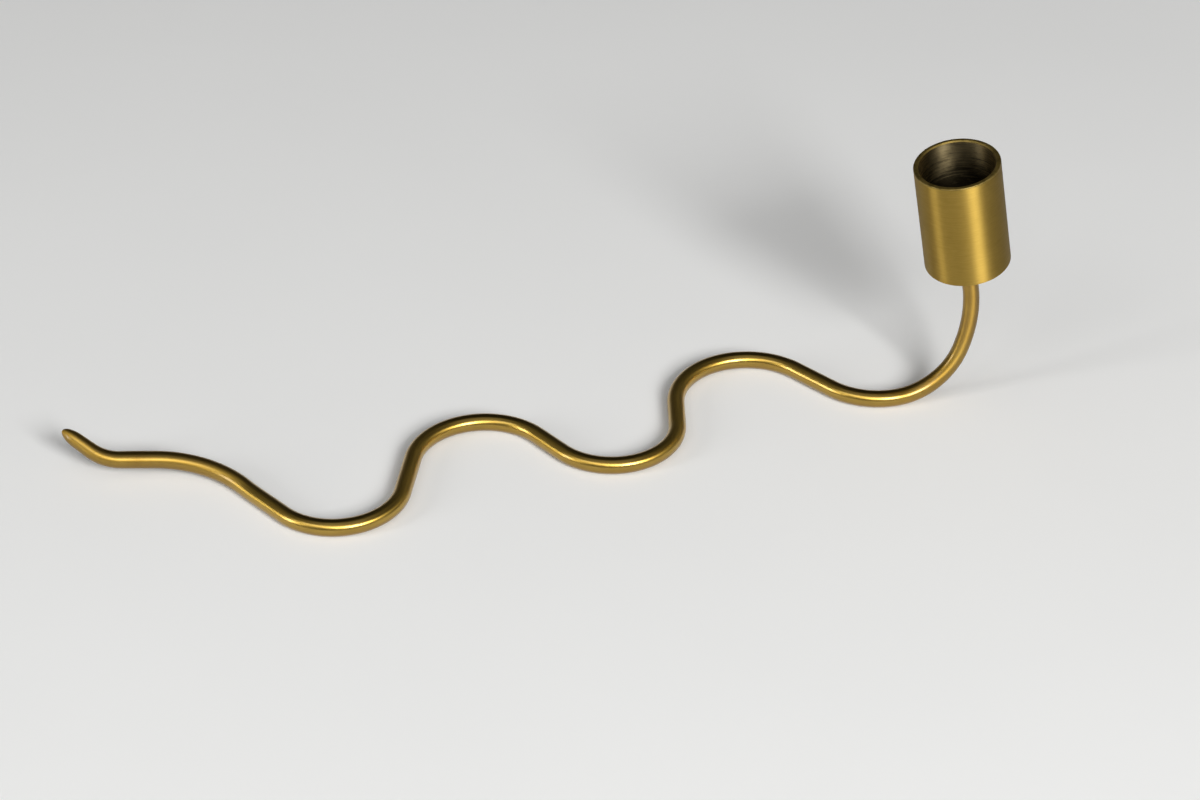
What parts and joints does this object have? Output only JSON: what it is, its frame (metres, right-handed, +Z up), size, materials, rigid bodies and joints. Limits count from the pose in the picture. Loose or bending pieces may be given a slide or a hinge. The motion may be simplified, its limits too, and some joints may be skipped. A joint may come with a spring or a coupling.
{
  "type": "taper candle holder",
  "caption": "Bent round brass rod that waves along the table as a foot, rises into a neck that leans back over the wave and carries a plain turned cup for a taper candle.",
  "frame": {"origin": "on the table, at the middle of the holder's plan", "axes": "+X along the holder's length, from the tail to the cup; +Z up from the table; +Y towards the side that the tail points to"},
  "size_m": [0.2742, 0.07, 0.0838],
  "materials": {
    "rod_brass": "semi-polished, with faint handling marks",
    "cup_brass": "satin, turned, with fine rings",
    "screw_brass": "plain machined"
  },
  "bodies": {
    "root": {"serpent_rod": "rod_brass", "candle_cup": "cup_brass", "cup_screw": "screw_brass"}
  },
  "joints": []
}
